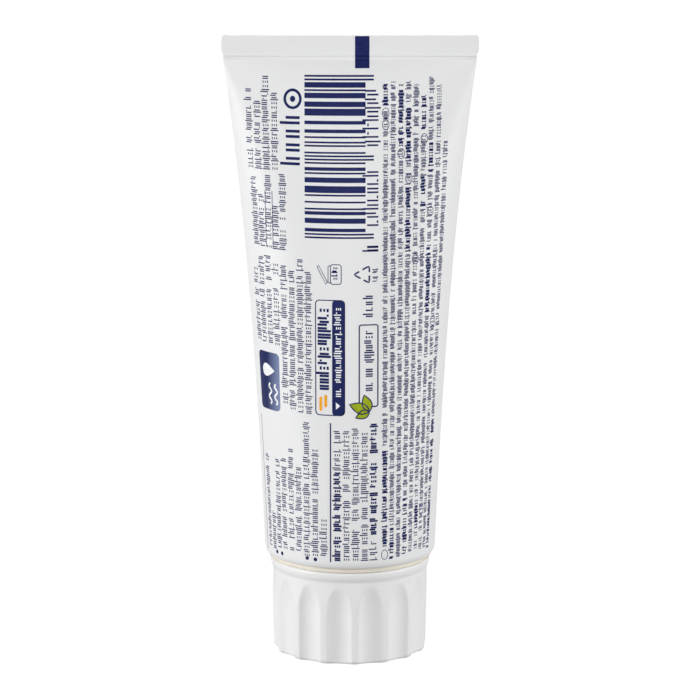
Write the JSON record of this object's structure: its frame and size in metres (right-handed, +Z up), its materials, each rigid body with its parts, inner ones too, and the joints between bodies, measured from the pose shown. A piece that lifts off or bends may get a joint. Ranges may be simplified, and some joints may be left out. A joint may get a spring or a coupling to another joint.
{
  "type": "denture cleanser tube",
  "caption": "Soft squeeze tube for paste, flattened and welded at one end, standing on a fluted screw cap that closes its neck.",
  "frame": {"origin": "middle of the cap's base, on the surface that the tube stands on", "axes": "+Z up the tube from the cap to the crimped end, +X along the crimp, -Y out of the printed side"},
  "size_m": [0.0528, 0.035, 0.1292],
  "materials": {
    "cap_plastic": "white moulded plastic with a soft gloss",
    "head_plastic": "natural milky moulded plastic, satin",
    "sleeve_plastic": "white extruded plastic with a soft gloss and dark blue print on one side",
    "paste": "smooth opaque paste"
  },
  "bodies": {
    "cap": {"screw_cap": "cap_plastic"},
    "tube": {"tube_head": "head_plastic", "sleeve": "sleeve_plastic", "paste": "paste"}
  },
  "joints": [
    {"name": "tube_lift", "type": "slide", "parent": "cap", "child": "tube", "axis": [0, 0, 1], "range_m": [0, 0.02]}
  ]
}
